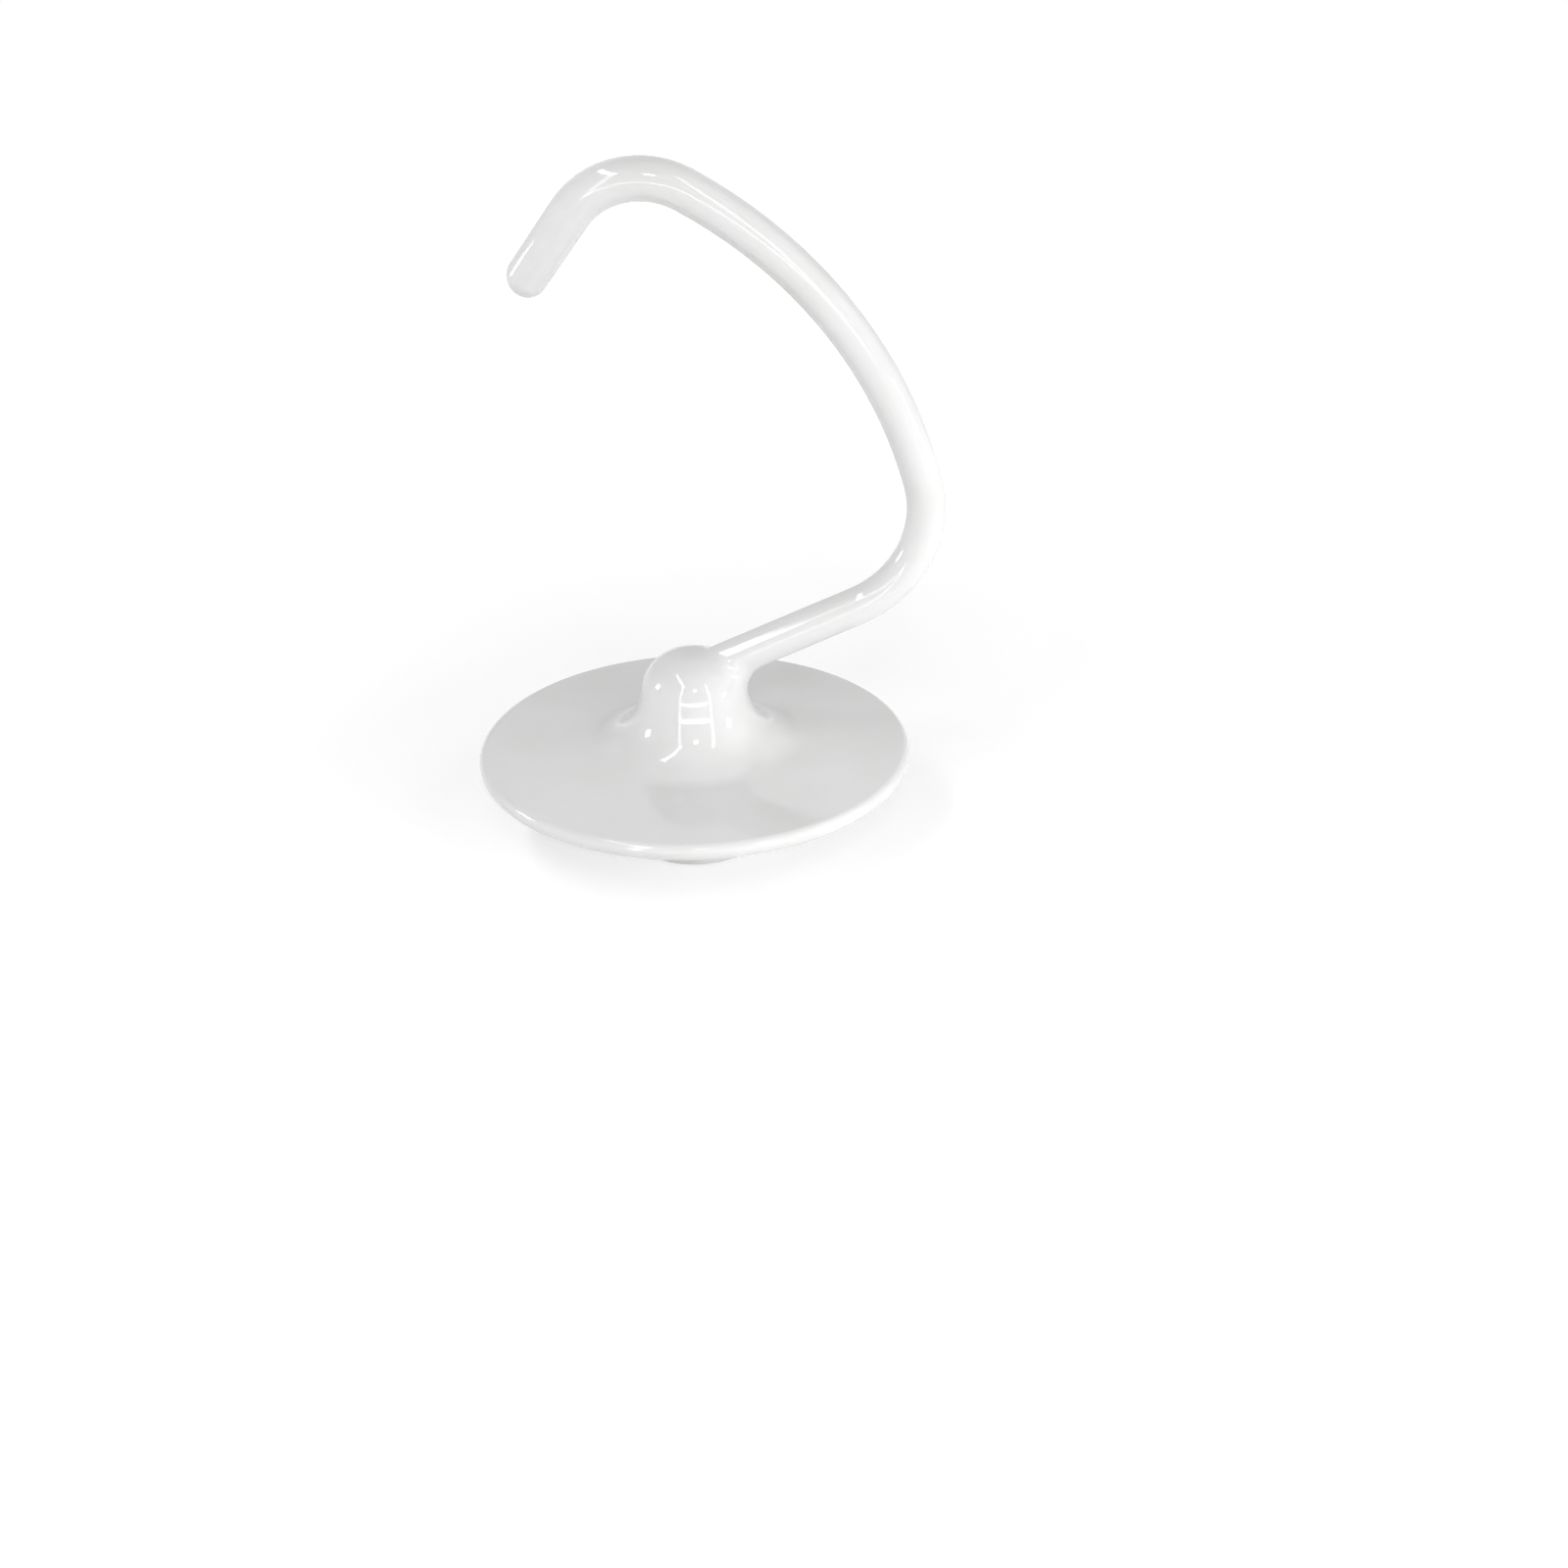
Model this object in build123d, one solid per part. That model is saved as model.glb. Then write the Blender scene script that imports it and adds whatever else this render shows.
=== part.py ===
from build123d import *
import os
from math import asin, cos, degrees, radians, tan

# Dough hook for a tilt-head stand mixer: hub, dough guard, boss and hook cast as one piece.
# Millimetres. The origin is the centre of the hub's end face, which the hook stands on when it
# is off the mixer, and +Z runs along the shaft axis towards the hook. The rod leaves the boss
# along +X.

# Dough guard: the round plate that keeps dough from climbing into the mixer's head
disc_diameter = 92.0
disc_thickness = 3.4
rim_depth = 1.5

# Hub that slides over the mixer's shaft
hub_diameter = 31.0
hub_length = 19.3
hub_draft = 1.5
hub_edge_chamfer = 0.6
hub_foot_chamfer = 1.6

# Blind bore for the shaft, with an eased mouth
bore_diameter = 13.0
bore_past_hub = 1.0
mouth_width = 1.7
mouth_depth = 2.0

# Keyway that lets the shaft's drive pin in, and the window that the pin turns into
keyway_width = 7.9
keyway_depth = 5.25
keyway_heading = 197.0
pin_ledge = 6.4
window_foot = 4.7
window_turn = 95.0

# Bell-shaped boss on the hook side: flared out of the disc, tapered at its waist, domed on top
boss_draft = 13.0
boss_flare_radius = 11.8
boss_waist = 4.0
boss_dome_radius = 8.9
boss_flat_diameter = 4.5

# Hook rod: a straight lead out of the boss, three tangent bends and a straight tip.
# Each bend has a radius, an angle, and a twist of its plane about the rod.
rod_diameter = 8.0
rod_below_top = 5.1
rod_blend_radius = 6.0
lead_slope = 22.7
lead_length = 37.4
heel_radius = 22.3
heel_angle = 83.9
heel_twist = 4.7
sweep_radius = 100.0
sweep_angle = 43.9
sweep_twist = 4.9
crown_radius = 15.8
crown_angle = 84.5
crown_twist = -18.1
tip_length = 15.2

# Room that a cutting tool has past the surface it starts from
cut_room = 1.0

disc_radius = disc_diameter / 2
hub_radius = hub_diameter / 2
hub_foot_reach = hub_radius + hub_length * tan(radians(hub_draft))
bore_radius = bore_diameter / 2
rod_radius = rod_diameter / 2
disc_top = hub_length + disc_thickness
window_top = hub_length - window_foot

# The flare and the dome each take this share of their radius from the boss's tapered wall
round_share = tan(radians((90 - boss_draft) / 2))
boss_wall = (boss_flare_radius + boss_dome_radius) * round_share + boss_waist
boss_top = disc_top + boss_wall * cos(radians(boss_draft))
boss_top_reach = boss_dome_radius * round_share + boss_flat_diameter / 2
boss_foot_reach = boss_top_reach + (boss_top - disc_top) * tan(radians(boss_draft))


def turned_body():
    """Hub, disc and boss as one turned profile."""
    hub_edge = (hub_radius, 0)
    hub_foot = (hub_foot_reach, hub_length)
    boss_foot = (boss_foot_reach, disc_top)
    boss_shoulder = (boss_top_reach, boss_top)
    rim_middle = (disc_radius - rim_depth, hub_length + disc_thickness / 2)
    rim = EllipticalCenterArc(rim_middle, rim_depth, disc_thickness / 2, -90, arc_size=180)
    lower = Polyline((0, boss_top), (0, 0), hub_edge, hub_foot, rim @ 0)
    upper = Polyline(rim @ 1, boss_foot, boss_shoulder, (0, boss_top))
    profile = make_face([lower, rim, upper])
    for point, size in ((hub_edge, hub_edge_chamfer), (hub_foot, hub_foot_chamfer)):
        profile = chamfer(profile.vertices().sort_by_distance(point)[0], size)
    for point, size in ((boss_foot, boss_flare_radius), (boss_shoulder, boss_dome_radius)):
        profile = fillet(profile.vertices().sort_by_distance(point)[0], size)
    return revolve(Plane.XZ * profile, Axis.Z)


def hook_path():
    """Centreline of the rod, from inside the boss to the middle of its round end."""
    bend_normal = Vector(0, -1, 0)
    start = Vector(0, 0, boss_top - rod_below_top)
    heading = Vector(1, 0, 0).rotate(Axis((0, 0, 0), bend_normal), lead_slope)
    runs = [Line(start, start + heading * lead_length)]
    bends = [
        (heel_radius, heel_angle, heel_twist),
        (sweep_radius, sweep_angle, sweep_twist),
        (crown_radius, crown_angle, crown_twist),
    ]
    for radius, angle, twist in bends:
        corner = runs[-1] @ 1
        heading = runs[-1] % 1
        bend_normal = bend_normal.rotate(Axis((0, 0, 0), heading), twist)
        bend_plane = Plane(corner, x_dir=heading, z_dir=bend_normal)
        runs.append(bend_plane * JernArc((0, 0), (1, 0), radius, angle))
    corner = runs[-1] @ 1
    runs.append(Line(corner, corner + (runs[-1] % 1) * tip_length))
    return Wire(runs)


def hook_rod(path):
    """Round rod along the path, with a hemispherical end."""
    section = Plane(path @ 0, z_dir=path % 0) * Circle(rod_radius)
    return sweep(section, path) + Pos(path @ 1) * Sphere(rod_radius)


def bore_cut():
    """Blind bore with its eased mouth."""
    depth = hub_length + bore_past_hub
    bore = Pos(0, 0, depth / 2) * Cylinder(bore_radius, depth)
    mouth = Pos(0, 0, mouth_depth / 2) * Cone(bore_radius + mouth_width, bore_radius, mouth_depth)
    return bore + mouth


def keyway_cut():
    """Slot along the bore, with a floor that is round about the hub's axis."""
    reach = bore_radius + keyway_depth
    length = reach + cut_room
    slot = Pos(length / 2, 0, window_top / 2) * Box(length, keyway_width, window_top)
    floor = Pos(0, 0, window_top / 2) * Cylinder(reach, window_top)
    return Rot(0, 0, keyway_heading) * (slot & floor)


def window_cut():
    """Opening through the hub's wall, from the keyway's side round to the pin's seat."""
    start = keyway_heading + degrees(asin(keyway_width / 2 / hub_radius))
    height = window_top - pin_ledge
    reach = hub_foot_reach + cut_room
    section = Plane.XZ * Pos(reach / 2, pin_ledge + height / 2) * Rectangle(reach, height)
    return Rot(0, 0, start) * revolve(section, Axis.Z, revolution_arc=window_turn)


def dough_hook():
    """The whole casting."""
    body = turned_body()
    rod = hook_rod(hook_path())
    casting = body + rod
    casting = fillet(new_edges(body, rod, combined=casting), rod_blend_radius)
    return casting - bore_cut() - keyway_cut() - window_cut()


os.makedirs("parts", exist_ok=True)
export_step(dough_hook(), "parts/dough_hook.step")
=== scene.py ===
import math

import bpy
import numpy as np
from mathutils import Matrix, Quaternion, Vector

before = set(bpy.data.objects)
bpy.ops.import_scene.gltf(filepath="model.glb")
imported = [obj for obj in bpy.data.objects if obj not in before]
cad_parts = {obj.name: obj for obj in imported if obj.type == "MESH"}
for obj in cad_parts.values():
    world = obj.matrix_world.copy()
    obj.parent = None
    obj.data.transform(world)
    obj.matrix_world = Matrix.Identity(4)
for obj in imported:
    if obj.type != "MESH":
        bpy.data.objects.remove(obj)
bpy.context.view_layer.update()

# A white-coated dough hook that stands on its hub, in a light studio.
# Lengths are in metres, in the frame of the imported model.
MM = 0.001
UP = Vector((0, 0, 1))
AWAY = Vector((0, 1, 0))

# Camera of the photo's upper view
CAMERA_PLACE = Vector((-0.5, -284.2, 164.6)) * MM
CAMERA_AIM = Vector((11.0, 0.0, 43.5)) * MM
CAMERA_ROLL = math.radians(-0.92)
CAMERA_LENS = 33.76
CAMERA_SENSOR = 36
CAMERA_SHIFT = (0.025, -0.0875)
CAMERA_NEAR = 0.01
CAMERA_FAR = 100

# Bore of the hub, which is bare metal past its mouth
BORE_RADIUS = 6.5 * MM
BORE_DEPTH = 20.3 * MM
MOUTH_DEPTH = 2.0 * MM
HAIR = 0.05 * MM

# Faces that meet at less than this angle are shaded as one smooth surface
SMOOTH_ANGLE = math.radians(24)

# A face is flat when all its facets turn less than this cosine allows. Its normal outweighs the rest.
FLAT_COSINE = 0.99999
FLAT_WEIGHT = 1e6

# Vertices closer than this share a place, and a length below the second value counts as none
SAME_PLACE = 0.001 * MM
NO_LENGTH = 1e-20

# Light tent round the hook: its faces, and the height of the strip across its front
TENT_LEFT = -0.215
TENT_RIGHT = 0.25
TENT_FRONT = -0.375
TENT_BACK = 0.0
TENT_TOP = 0.455
STRIP_HEIGHT = 0.054

# Middle of the boss, which every lamp faces
LAMP_AIM = Vector((0, 0, 35)) * MM

# Light from the sky, beside the lamps
SKY_FILL = 0.255

# The floor's glow is weaker round the hook, where the shadow falls, and full from some way off
FLOOR_REACH = 8.0
FLOOR_GREY = 0.85
SHADOW_GLOW = 0.34
SHADOW_REACH = 0.1
WHITE_GLOW = 1.0
WHITE_REACH = 0.6


def unit(vectors):
    """The same directions, each of length one."""
    return vectors / np.maximum(np.linalg.norm(vectors, axis=1, keepdims=True), NO_LENGTH)


def mesh_arrays(mesh):
    """The places of the vertices, and the three vertices of each triangle."""
    points = np.empty(len(mesh.vertices) * 3)
    mesh.vertices.foreach_get("co", points)
    triangles = np.empty(len(mesh.polygons) * 3, int)
    mesh.polygons.foreach_get("vertices", triangles)
    return points.reshape(-1, 3), triangles.reshape(-1, 3)


def connected_faces(vertex_count, triangles):
    """A label per vertex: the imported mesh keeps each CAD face's vertices to itself."""
    label = np.arange(vertex_count)
    while True:
        lowest = label[triangles].min(axis=1)
        fresh = label.copy()
        for corner in range(3):
            np.minimum.at(fresh, triangles[:, corner], lowest)
        fresh = fresh[fresh]
        if np.array_equal(fresh, label):
            return label
        label = fresh


def vertex_sums(points, triangles, facet):
    """The facet normals round each vertex, added up by the angle that each facet has there."""
    sums = np.zeros_like(points)
    for corner in range(3):
        here, ahead, behind = (points[triangles[:, (corner + step) % 3]] for step in range(3))
        cosine = (unit(ahead - here) * unit(behind - here)).sum(axis=1)
        angle = np.arccos(np.clip(cosine, -1, 1))
        np.add.at(sums, triangles[:, corner], facet * angle[:, None])
    return sums


def flat_faces(points, triangles, across, facet):
    """Per vertex, whether its CAD face is flat, and that face's mean normal."""
    face = connected_faces(len(points), triangles)
    owner = face[triangles[:, 0]]
    mean = np.zeros_like(points)
    np.add.at(mean, owner, across)
    mean = unit(mean)
    least_cosine = np.ones(len(points))
    np.minimum.at(least_cosine, owner, (facet * mean[owner]).sum(axis=1))
    return least_cosine[face] > FLAT_COSINE, mean[face]


def vertices_by_place(points):
    """Groups of the vertices that share a place."""
    steps = np.round(points / SAME_PLACE).astype(int)
    _, place = np.unique(steps, axis=0, return_inverse=True)
    place = place.ravel()
    order = np.argsort(place, kind="stable")
    starts = np.flatnonzero(np.diff(place[order], prepend=-1))
    return np.split(order, starts[1:])


def smooth_normals(mesh):
    """Shades the faces that run into each other as one surface, and keeps flat faces flat."""
    points, triangles = mesh_arrays(mesh)
    first, second, third = (points[triangles[:, corner]] for corner in range(3))
    across = np.cross(second - first, third - first)
    facet = unit(across)

    sums = vertex_sums(points, triangles, facet)
    flat, flat_normal = flat_faces(points, triangles, across, facet)
    weight = np.where(flat, FLAT_WEIGHT, np.linalg.norm(sums, axis=1))
    own = np.where(flat[:, None], flat_normal, unit(sums))

    smooth = own.copy()
    for group in vertices_by_place(points):
        if len(group) > 1:
            alike = own[group] @ own[group].T > math.cos(SMOOTH_ANGLE)
            smooth[group] = (alike * weight[group]) @ own[group]
    mesh.shade_smooth()
    mesh.normals_split_custom_set_from_vertices(unit(smooth))


def grey(value):
    return (value, value, value, 1)


def new_material(name):
    """A material with one principled shader, and the parts of its node tree."""
    material = bpy.data.materials.new(name)
    material.use_nodes = True
    nodes = material.node_tree.nodes
    links = material.node_tree.links
    nodes.clear()
    output = nodes.new("ShaderNodeOutputMaterial")
    shader = nodes.new("ShaderNodeBsdfPrincipled")
    links.new(shader.outputs["BSDF"], output.inputs["Surface"])
    return material, nodes, links, shader


def noise(nodes, links, space, scale, detail, stretch=(1, 1, 1)):
    """A noise texture in object space, in bumps per metre."""
    mapping = nodes.new("ShaderNodeMapping")
    mapping.inputs["Scale"].default_value = stretch
    links.new(space.outputs["Object"], mapping.inputs["Vector"])
    texture = nodes.new("ShaderNodeTexNoise")
    texture.inputs["Scale"].default_value = scale
    texture.inputs["Detail"].default_value = detail
    links.new(mapping.outputs["Vector"], texture.inputs["Vector"])
    return texture


def ramp(nodes, links, texture, low, high, start=0.3, end=0.7):
    """A colour ramp over a texture's values."""
    colours = nodes.new("ShaderNodeValToRGB")
    colours.color_ramp.elements[0].position = start
    colours.color_ramp.elements[0].color = low
    colours.color_ramp.elements[1].position = end
    colours.color_ramp.elements[1].color = high
    links.new(texture.outputs["Fac"], colours.inputs["Fac"])
    return colours


def bump(nodes, links, texture, strength, depth):
    """A relief that follows a texture's values."""
    relief = nodes.new("ShaderNodeBump")
    relief.inputs["Strength"].default_value = strength
    relief.inputs["Distance"].default_value = depth
    links.new(texture.outputs["Fac"], relief.inputs["Height"])
    return relief


def white_coat():
    """Glossy white enamel over a casting: faintly uneven in colour, with an orange-peel skin."""
    material, nodes, links, shader = new_material("white_coat")
    space = nodes.new("ShaderNodeTexCoord")

    patches = noise(nodes, links, space, scale=60, detail=3)
    tint = ramp(nodes, links, patches, low=(0.700, 0.700, 0.694, 1), high=(0.735, 0.731, 0.733, 1))
    links.new(tint.outputs["Color"], shader.inputs["Base Color"])

    wear = noise(nodes, links, space, scale=220, detail=4)
    gloss = ramp(nodes, links, wear, low=grey(0.05), high=grey(0.10))
    links.new(gloss.outputs["Color"], shader.inputs["Roughness"])
    shader.inputs["IOR"].default_value = 1.5

    waves = noise(nodes, links, space, scale=90, detail=1)
    peel = noise(nodes, links, space, scale=700, detail=2)
    wavy = bump(nodes, links, waves, strength=0.3, depth=0.12 * MM)
    skin = bump(nodes, links, peel, strength=0.3, depth=0.012 * MM)
    links.new(wavy.outputs["Normal"], skin.inputs["Normal"])
    links.new(skin.outputs["Normal"], shader.inputs["Normal"])
    return material


def bare_metal():
    """Machined aluminium in the bore, with fine marks along the shaft's way."""
    material, nodes, links, shader = new_material("bare_metal")
    space = nodes.new("ShaderNodeTexCoord")
    marks = noise(nodes, links, space, scale=900, detail=3, stretch=(1, 1, 0.04))
    tint = ramp(nodes, links, marks, low=grey(0.30), high=grey(0.48))
    links.new(tint.outputs["Color"], shader.inputs["Base Color"])
    shader.inputs["Metallic"].default_value = 1.0
    gloss = ramp(nodes, links, marks, low=grey(0.26), high=grey(0.42))
    links.new(gloss.outputs["Color"], shader.inputs["Roughness"])
    lines = bump(nodes, links, marks, strength=0.5, depth=0.02 * MM)
    links.new(lines.outputs["Normal"], shader.inputs["Normal"])
    return material


def is_bare_metal(middle, normal):
    """True on the bore's wall and on its end."""
    reach = math.hypot(middle.x, middle.y)
    in_bore = reach < BORE_RADIUS + HAIR and MOUTH_DEPTH - HAIR < middle.z < BORE_DEPTH + HAIR
    inward = normal.x * middle.x + normal.y * middle.y < 0
    return in_bore and (inward or middle.z > BORE_DEPTH - HAIR)


def dress_hook(hook):
    """Smooth shading, coat all over, and bare metal in the bore."""
    smooth_normals(hook.data)
    hook.data.materials.clear()
    hook.data.materials.append(white_coat())
    hook.data.materials.append(bare_metal())
    for polygon in hook.data.polygons:
        polygon.material_index = int(is_bare_metal(polygon.center, polygon.normal))


def lamp_at(name, place, width, length, glow, along=UP, mirrored=True, lights=True):
    """A rectangular lamp that faces the boss, with its length along one direction.

    A lamp that isn't mirrored only lights the hook, and one that doesn't light is only mirrored.
    """
    lamp = bpy.data.lights.new(name, "AREA")
    lamp.shape = "RECTANGLE"
    lamp.size = width
    lamp.size_y = length
    lamp.energy = glow * math.pi * width * length
    back = (Vector(place) - LAMP_AIM).normalized()
    side = along.cross(back).normalized()
    turn = Matrix((side, back.cross(side), back)).transposed()
    holder = bpy.data.objects.new(name, lamp)
    holder.matrix_world = Matrix.Translation(place) @ turn.to_4x4()
    holder.visible_camera = False
    holder.visible_glossy = mirrored
    holder.visible_diffuse = lights
    bpy.context.scene.collection.objects.link(holder)


def edge_lamp(name, start, end, width, glow, lights=True):
    """A thin lamp from one point to another."""
    run = end - start
    lamp_at(name, (start + end) / 2, width, run.length, glow, along=run, lights=lights)


def tent_edges():
    """Strips along the light tent's edges, which the coat mirrors as bright lines."""
    left_foot = Vector((TENT_LEFT, TENT_FRONT, 0))
    left_strip = Vector((TENT_LEFT, TENT_FRONT, STRIP_HEIGHT))
    left_top = Vector((TENT_LEFT, TENT_FRONT, TENT_TOP))
    left_back = Vector((TENT_LEFT, TENT_BACK, TENT_TOP))
    right_foot = Vector((TENT_RIGHT, TENT_FRONT, 0))
    right_strip = Vector((TENT_RIGHT, TENT_FRONT, STRIP_HEIGHT))
    right_top = Vector((TENT_RIGHT, TENT_FRONT, TENT_TOP))
    edge_lamp("left_edge", left_foot, left_top, width=0.048, glow=4.8)
    edge_lamp("right_edge", right_foot, right_top, width=0.048, glow=5.0)
    edge_lamp("left_top_edge", left_top, left_back, width=0.036, glow=10.5)
    edge_lamp("front_foot_edge", left_strip, right_strip, width=0.018, glow=8.0, lights=False)


def tent_lamps():
    """Small lamps, which the coat mirrors as dots."""
    lamp_at("left_lamp", (-0.42, 0.02, 0.16), width=0.08, length=0.08, glow=14.5)
    lamp_at("right_lamp", (0.40, -0.165, 0.075), width=0.07, length=0.08, glow=12.5)
    lamp_at("front_lamp", (0.013, -0.42, 0.345), width=0.06, length=0.06, glow=17.0)


def soft_panels():
    """Dim panels that set the tones, and two low ones that light the foot of the hook more than its top."""
    lamp_at("key_panel", (0.56, -0.15, 0.43), width=0.5, length=0.5, glow=0.55)
    lamp_at("right_wall", (0.55, -0.12, 0.17), width=0.8, length=0.34, glow=0.45)
    lamp_at("left_wall", (-0.55, -0.12, 0.17), width=0.8, length=0.34, glow=0.35)
    lamp_at("front_wall", (0.0, -0.70, 0.25), width=0.8, length=0.5, glow=0.06)
    lamp_at("back_wall", (0.0, 0.75, 0.15), width=1.0, length=0.28, glow=0.6, mirrored=False)
    lamp_at("back_panel", (0.0, 0.70, 0.75), width=1.4, length=0.8, glow=0.31)
    lamp_at("low_front", (0.05, -0.17, 0.06), width=0.16, length=0.05, glow=1.9, mirrored=False)
    lamp_at("low_right", (0.17, -0.08, 0.055), width=0.12, length=0.05, glow=3.5, mirrored=False)
    lamp_at("ceiling", (0.0, 0.0, 0.80), width=0.8, length=0.8, glow=0.06, along=AWAY)


def seen_directly(nodes, links):
    """One for rays from the camera, mirrors and glass, and zero for the rest."""
    path = nodes.new("ShaderNodeLightPath")
    total = path.outputs["Is Camera Ray"]
    for ray in ("Is Glossy Ray", "Is Transmission Ray"):
        both = nodes.new("ShaderNodeMath")
        both.operation = "ADD"
        links.new(total, both.inputs[0])
        links.new(path.outputs[ray], both.inputs[1])
        total = both.outputs["Value"]
    return total


def floor_glow(nodes, links):
    """The floor's own light where it is seen directly, which rises with the distance from the hook."""
    space = nodes.new("ShaderNodeTexCoord")
    reach = nodes.new("ShaderNodeVectorMath")
    reach.operation = "LENGTH"
    links.new(space.outputs["Object"], reach.inputs[0])
    level = nodes.new("ShaderNodeMapRange")
    level.inputs["From Min"].default_value = SHADOW_REACH
    level.inputs["From Max"].default_value = WHITE_REACH
    level.inputs["To Min"].default_value = SHADOW_GLOW
    level.inputs["To Max"].default_value = WHITE_GLOW
    links.new(reach.outputs["Value"], level.inputs["Value"])
    seen = nodes.new("ShaderNodeMath")
    seen.operation = "MULTIPLY"
    links.new(seen_directly(nodes, links), seen.inputs[0])
    links.new(level.outputs["Result"], seen.inputs[1])
    glow = nodes.new("ShaderNodeEmission")
    links.new(seen.outputs["Value"], glow.inputs["Strength"])
    return glow


def white_paper():
    """Pale paper with a glow, so that it looks white and still shows a shadow."""
    material = bpy.data.materials.new("floor")
    material.use_nodes = True
    nodes = material.node_tree.nodes
    links = material.node_tree.links
    nodes.clear()
    output = nodes.new("ShaderNodeOutputMaterial")
    paper = nodes.new("ShaderNodeBsdfDiffuse")
    paper.inputs["Color"].default_value = grey(FLOOR_GREY)
    glow = floor_glow(nodes, links)
    both = nodes.new("ShaderNodeAddShader")
    links.new(paper.outputs["BSDF"], both.inputs[0])
    links.new(glow.outputs["Emission"], both.inputs[1])
    links.new(both.outputs["Shader"], output.inputs["Surface"])
    return material


def studio_floor():
    """A wide pale floor that shows the hook's shadow."""
    mesh = bpy.data.meshes.new("floor")
    turns = [(-1, -1), (1, -1), (1, 1), (-1, 1)]
    corners = [(x * FLOOR_REACH, y * FLOOR_REACH, 0) for x, y in turns]
    mesh.from_pydata(corners, [], [(0, 1, 2, 3)])
    mesh.materials.append(white_paper())
    floor = bpy.data.objects.new("floor", mesh)
    bpy.context.scene.collection.objects.link(floor)


def studio_world():
    """A white backdrop, and a dimmer sky that fills the shadows."""
    world = bpy.data.worlds.new("studio")
    bpy.context.scene.world = world
    world.use_nodes = True
    nodes = world.node_tree.nodes
    links = world.node_tree.links
    nodes.clear()
    output = nodes.new("ShaderNodeOutputWorld")
    mix = nodes.new("ShaderNodeMixShader")
    links.new(seen_directly(nodes, links), mix.inputs["Fac"])
    for slot, strength in ((1, SKY_FILL), (2, WHITE_GLOW)):
        background = nodes.new("ShaderNodeBackground")
        background.inputs["Color"].default_value = grey(1)
        background.inputs["Strength"].default_value = strength
        links.new(background.outputs["Background"], mix.inputs[slot])
    links.new(mix.outputs["Shader"], output.inputs["Surface"])


def studio_camera():
    """The camera of the photo's upper view."""
    camera = bpy.data.cameras.new("camera")
    camera.lens = CAMERA_LENS
    camera.sensor_width = CAMERA_SENSOR
    camera.shift_x, camera.shift_y = CAMERA_SHIFT
    camera.clip_start = CAMERA_NEAR
    camera.clip_end = CAMERA_FAR
    holder = bpy.data.objects.new("camera", camera)
    holder.location = CAMERA_PLACE
    holder.rotation_mode = "QUATERNION"
    aim = (CAMERA_AIM - CAMERA_PLACE).to_track_quat("-Z", "Y")
    holder.rotation_quaternion = aim @ Quaternion((0, 0, 1), CAMERA_ROLL)
    bpy.context.scene.collection.objects.link(holder)
    bpy.context.scene.camera = holder


bpy.context.scene.view_settings.view_transform = "Standard"
studio_camera()
studio_world()
studio_floor()
tent_edges()
tent_lamps()
soft_panels()
dress_hook(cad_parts["dough_hook"])
